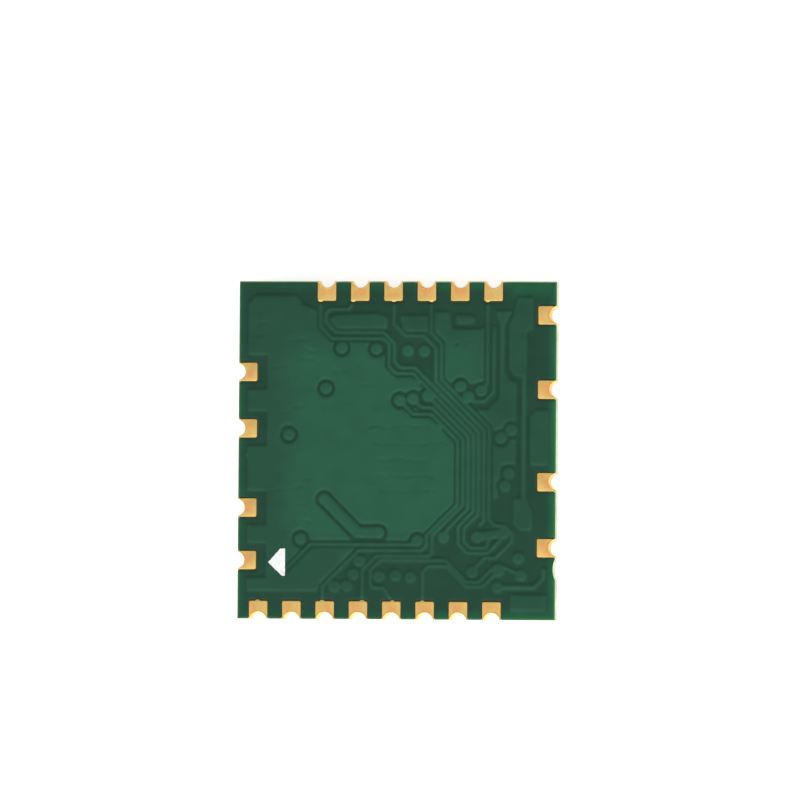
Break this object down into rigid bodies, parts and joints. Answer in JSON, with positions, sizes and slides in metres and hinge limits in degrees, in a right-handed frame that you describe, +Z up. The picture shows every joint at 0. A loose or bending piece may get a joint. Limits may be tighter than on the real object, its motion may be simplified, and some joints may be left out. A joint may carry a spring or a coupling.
{
  "type": "castellated wifi module",
  "caption": "Surface-mount wifi module: a small green circuit board with gold half-hole contacts round its edges and its radio parts on the other face.",
  "frame": {"origin": "under the middle of the board, at the lowest point, which is the face of the radio chip that the module lies on", "axes": "+Z up out of the solder face, along the board's thickness; +Y along the board's length, towards the edge with six contacts; +X across its width, to the right seen from above with the print arrow at the lower left"},
  "size_m": [0.012, 0.0128, 0.0017],
  "materials": {
    "solder_mask": "satin",
    "gold_plating": "satin",
    "chip_plastic": "matte",
    "tin_plating": "satin",
    "crystal_ceramic": "matte",
    "crystal_lid_metal": "satin",
    "ferrite": "matte",
    "filter_ceramic": "matte",
    "capacitor_ceramic": "matte",
    "resistor_ceramic": "satin",
    "coil_ceramic": "matte",
    "solder": "satin"
  },
  "bodies": {
    "root": {"circuit_board": "solder_mask", "contact_01": "gold_plating", "contact_02": "gold_plating", "contact_03": "gold_plating", "contact_04": "gold_plating", "contact_05": "gold_plating", "contact_06": "gold_plating", "contact_07": "gold_plating", "contact_08": "gold_plating", "contact_09": "gold_plating", "contact_10": "gold_plating", "contact_11": "gold_plating", "contact_12": "gold_plating", "contact_13": "gold_plating", "contact_14": "gold_plating", "contact_15": "gold_plating", "contact_16": "gold_plating", "contact_17": "gold_plating", "contact_18": "gold_plating", "contact_19": "gold_plating", "contact_20": "gold_plating", "contact_21": "gold_plating", "contact_22": "gold_plating", "chip_body": "chip_plastic", "chip_leads": "tin_plating", "chip_thermal_pad": "tin_plating", "crystal_base": "crystal_ceramic", "crystal_lid": "crystal_lid_metal", "power_inductor": "ferrite", "inductor_terminals": "tin_plating", "radio_filter": "filter_ceramic", "capacitor_01": "capacitor_ceramic", "capacitor_02": "capacitor_ceramic", "capacitor_03": "capacitor_ceramic", "capacitor_04": "capacitor_ceramic", "capacitor_05": "capacitor_ceramic", "capacitor_06": "capacitor_ceramic", "capacitor_07": "capacitor_ceramic", "capacitor_08": "capacitor_ceramic", "capacitor_09": "capacitor_ceramic", "capacitor_10": "capacitor_ceramic", "capacitor_11": "capacitor_ceramic", "capacitor_12": "capacitor_ceramic", "resistor_01": "resistor_ceramic", "resistor_02": "resistor_ceramic", "resistor_03": "resistor_ceramic", "resistor_04": "resistor_ceramic", "resistor_05": "resistor_ceramic", "rf_inductor_01": "coil_ceramic", "rf_inductor_02": "coil_ceramic", "solder_joints": "solder"}
  },
  "joints": []
}
